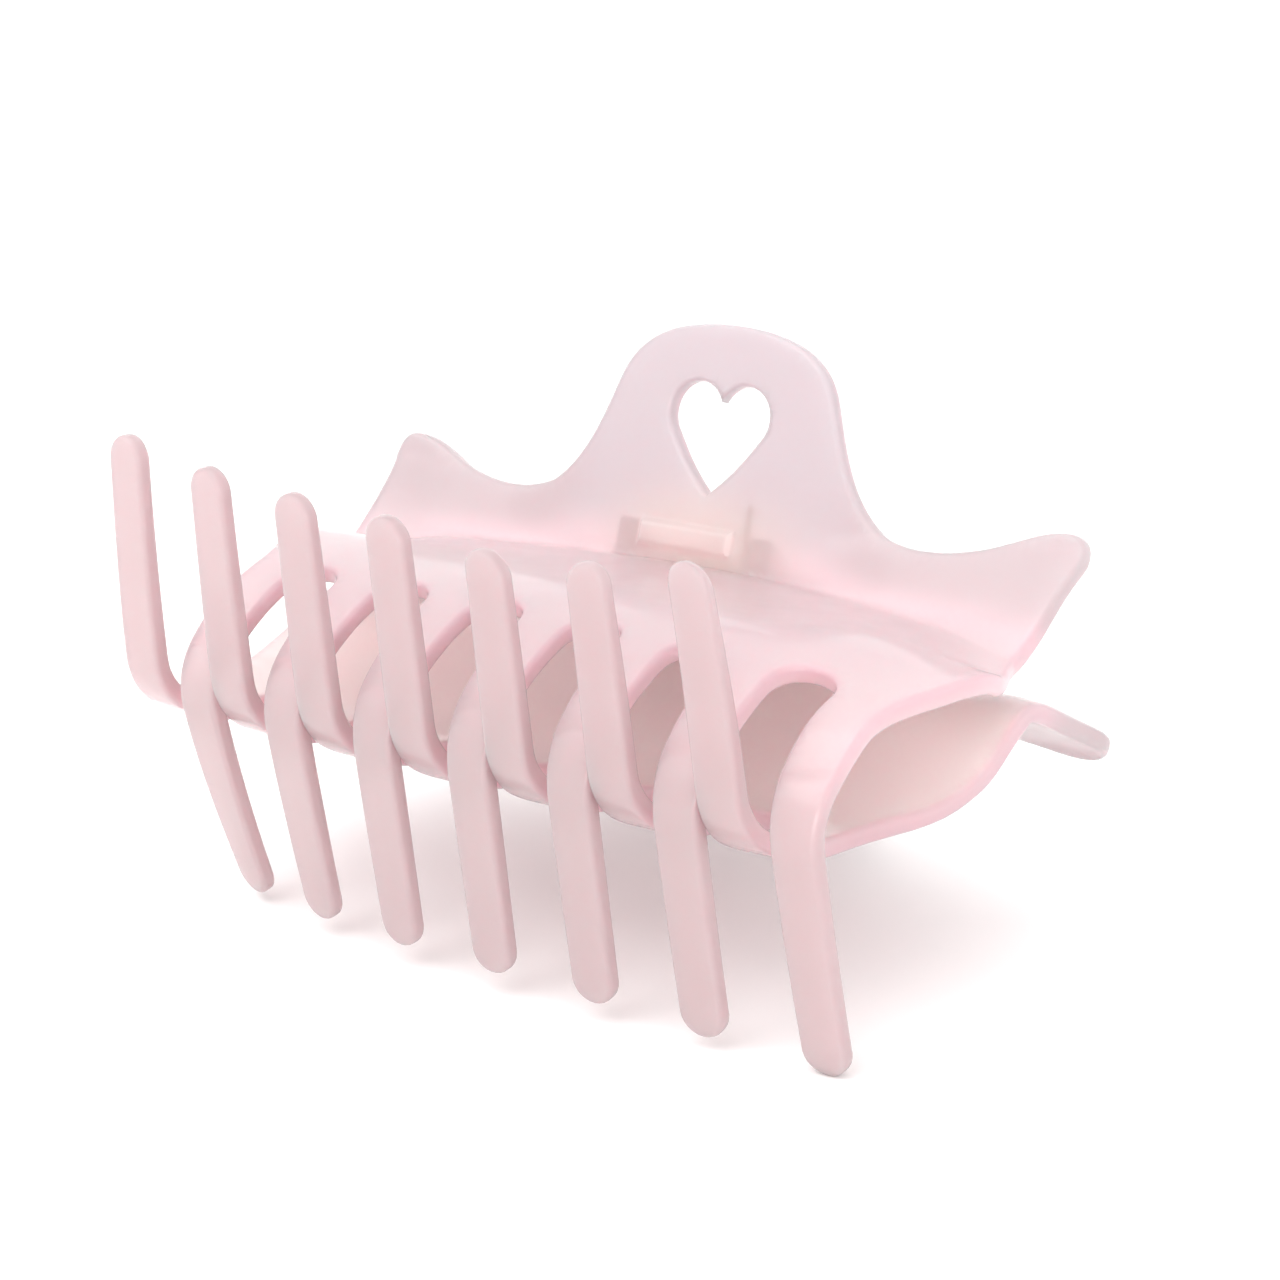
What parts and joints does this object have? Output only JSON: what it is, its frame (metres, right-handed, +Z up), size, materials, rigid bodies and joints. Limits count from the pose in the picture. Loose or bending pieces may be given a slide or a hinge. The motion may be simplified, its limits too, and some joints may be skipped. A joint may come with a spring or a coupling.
{
  "type": "claw hair clip",
  "caption": "Spring-loaded claw hair clip with two curved comb jaws, interlacing teeth and a heart cut-out in each thumb tab.",
  "frame": {"origin": "centre of the bounding box's base, on the surface the closed clip lies on", "axes": "+X along the hinge, +Y towards the thumb tabs, +Z up out of the upper jaw"},
  "size_m": [0.1068, 0.066, 0.0655],
  "materials": {
    "jelly_plastic": "milky translucent pale pink, glossy",
    "pin_steel": "plated, polished",
    "spring_steel": "drawn wire, satin"
  },
  "bodies": {
    "lower_jaw_body": {"lower_jaw": "jelly_plastic", "hinge_pin": "pin_steel", "torsion_spring": "spring_steel"},
    "upper_jaw_body": {"upper_jaw": "jelly_plastic"}
  },
  "joints": [
    {"name": "jaw_hinge", "type": "hinge", "parent": "lower_jaw_body", "child": "upper_jaw_body", "pos_m": [0, 0.02293, 0.03244], "axis": [-1, 0, 0], "range_deg": [0, 130], "stiffness_Nm_per_rad": 0.1, "springref_deg": -89.95, "deforming": ["torsion_spring"]}
  ]
}
